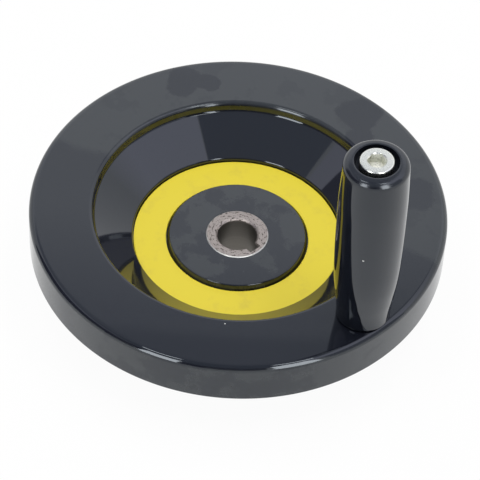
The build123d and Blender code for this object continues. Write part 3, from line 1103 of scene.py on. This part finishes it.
def overhead_card(name, middle, width, depth, material):
    """Level card overhead, given by its middle and its size as the camera sees it."""
    flat_card(name, seen_from_camera(*middle), (0, 0, VIEW_TURN), width, depth, material)


def curtain(name, azimuths, low, high, material, distance=1.5):
    """Upright curtain around the camera's side, between two angles to the right of the camera."""
    first, last = (math.radians(azimuth) for azimuth in azimuths)
    wall = start_outline(name, (distance, low))
    draw_outline([(distance, low), (distance, high)])
    turn_outline(CURTAIN_STEPS, last - first)
    bpy.ops.object.mode_set(mode="OBJECT")
    wall.rotation_euler = (0, 0, VIEW_TURN + last - math.pi / 2)
    show_in_gloss_only(wall, name, material)


def studio_rays(plan):
    """One for rays that show the background: seen directly, in gloss or through glass."""
    path = plan.node("LightPath")
    seen = path.outputs["Is Camera Ray"]
    for kind in ("Is Glossy Ray", "Is Transmission Ray"):
        seen = plan.number("MAXIMUM", seen, path.outputs[kind])
    return seen


class HANDWHEEL_OT_stage(Operator):
    """White table and surround, lamps, cards that show in the gloss, and the camera"""

    bl_idname = "handwheel.stage"
    bl_label = "Stage"
    bl_options = {"REGISTER", "UNDO"}

    def execute(self, context):
        context.scene.view_settings.view_transform = "Standard"
        self.surround(context.scene)
        self.table()
        self.lamps()
        self.cards()
        self.camera(context.scene)
        return {"FINISHED"}

    def surround(self, scene):
        scene.world = bpy.data.worlds.new("surround")
        plan = empty_plan(scene.world)
        soft = plan.node("Background", {"Strength": SURROUND_LIGHT}).outputs[0]
        white = plan.node("Background", {"Color": (1, 1, 1, 1)}).outputs[0]
        plan.node("OutputWorld", {0: plan.blend(studio_rays(plan), soft, white)})

    def table(self):
        material = bpy.data.materials.new("white table")
        plan = empty_plan(material)
        grey = (TABLE_PAPER, TABLE_PAPER, TABLE_PAPER, 1)
        paper = plan.node("BsdfDiffuse", {"Color": grey}).outputs[0]
        white = plan.node("Emission").outputs[0]
        share = plan.number("MULTIPLY", studio_rays(plan), TABLE_GLOW)
        plan.node("OutputMaterial", {0: plan.blend(share, paper, white)})
        deselect()
        bpy.ops.mesh.primitive_plane_add(size=TABLE_SIZE, location=(0, 0, -TABLE_DROP))
        table = bpy.context.active_object
        table.name = "table"
        table.data.materials.append(material)

    def lamps(self):
        """Two ceiling lamps for the light, and the strips that stand for them in the gloss."""
        ceiling_lamp("ceiling_left", -0.24, 0.02, -12)
        ceiling_lamp("ceiling_right", 0.23, 0.02, 12)
        glow = card_finish("strip lamp", LAMP_GLOW)
        strip_card("upper_left", (-0.262, -0.200, 0.784), (-0.300, -0.290, 0.741), glow)
        strip_card("upper_right", (0.238, -0.214, 0.784), (0.276, -0.304, 0.741), glow)
        curtain("lamp_left", (-42, -24), 0.02, 1.5, glow, distance=1.2)
        curtain("lamp_right", (20, 41), 0.02, 1.5, glow, distance=1.2)

    def cards(self):
        """Dim cards overhead and curtains around, which set how bright the gloss is."""
        side_right = card_finish("side right", (1.38, 1.36, 1.54), fade=(0.2, 1.1))
        side_left = card_finish("side left", (1.1, 1.08, 1.22), fade=(0.2, 1.1))
        near_hood = card_finish("near hood", (0.33, 0.36, 0.42))
        far_hood = card_finish("far hood", (0.52, 0.54, 0.60), fade=(0.32, 0.41))
        ceiling = card_finish("bright ceiling", (1.25, 1.25, 1.3))
        overhead_card("side_right", (1.95, 0.0, 1.3), 2.7, 2.2, side_right)
        overhead_card("side_left", (-2.2, 0.0, 1.3), 1.8, 2.2, side_left)
        overhead_card("near_hood", (-0.25, -0.75, 1.0), 1.4, 1.4, near_hood)
        overhead_card("far_hood", (-0.25, 0.5, 1.0), 1.4, 1.1, far_hood)
        overhead_card("back_ceiling", (0, 1.4, 1.0), 2.4, 1.2, ceiling)
        dark = card_finish("dark curtain", (0.12, 0.12, 0.16))
        grey = card_finish("grey curtain", (0.5, 0.52, 0.58))
        curtain("curtain_left", (-112, 17), -0.5, 1.2, dark)
        curtain("curtain_right", (46, 86), -0.5, 1.3, grey)

    def camera(self, scene):
        turn = [math.radians(degrees) for degrees in CAMERA_TURN]
        bpy.ops.object.camera_add(location=CAMERA_PLACE, rotation=turn)
        camera = bpy.context.active_object
        camera.data.sensor_width = CAMERA_FILM
        camera.data.lens = CAMERA_LENS
        camera.data.clip_end = CAMERA_REACH
        scene.camera = camera


# ---------------------------------------------------------------- sidebar and start


class HANDWHEEL_PT_sidebar(Panel):
    bl_idname = "HANDWHEEL_PT_sidebar"
    bl_label = "Handwheel"
    bl_space_type = "VIEW_3D"
    bl_region_type = "UI"
    bl_category = "Handwheel"

    def draw(self, context):
        for operator in operators:
            self.layout.operator(operator.bl_idname)


operators = (
    HANDWHEEL_OT_wheel_body,
    HANDWHEEL_OT_hub_bush,
    HANDWHEEL_OT_colour_ring,
    HANDWHEEL_OT_handle_insert,
    HANDWHEEL_OT_handle_spindle,
    HANDWHEEL_OT_handle_grip,
    HANDWHEEL_OT_stage,
)
groups = {
    "wheel_sizes": WheelSizes,
    "hub_sizes": HubSizes,
    "grip_sizes": GripSizes,
    "finishes": Finishes,
}


def register():
    for group_name, group in groups.items():
        bpy.utils.register_class(group)
        setattr(bpy.types.Scene, group_name, PointerProperty(type=group))
    for operator in operators:
        bpy.utils.register_class(operator)
    bpy.utils.register_class(HANDWHEEL_PT_sidebar)


def unregister():
    bpy.utils.unregister_class(HANDWHEEL_PT_sidebar)
    for operator in reversed(operators):
        bpy.utils.unregister_class(operator)
    for group_name, group in groups.items():
        delattr(bpy.types.Scene, group_name)
        bpy.utils.unregister_class(group)


def main():
    register()
    bpy.ops.handwheel.wheel_body()
    bpy.ops.handwheel.hub_bush()
    bpy.ops.handwheel.colour_ring()
    bpy.ops.handwheel.handle_insert()
    bpy.ops.handwheel.handle_spindle()
    bpy.ops.handwheel.handle_grip()
    bpy.ops.handwheel.stage()


if __name__ == "__main__":
    main()
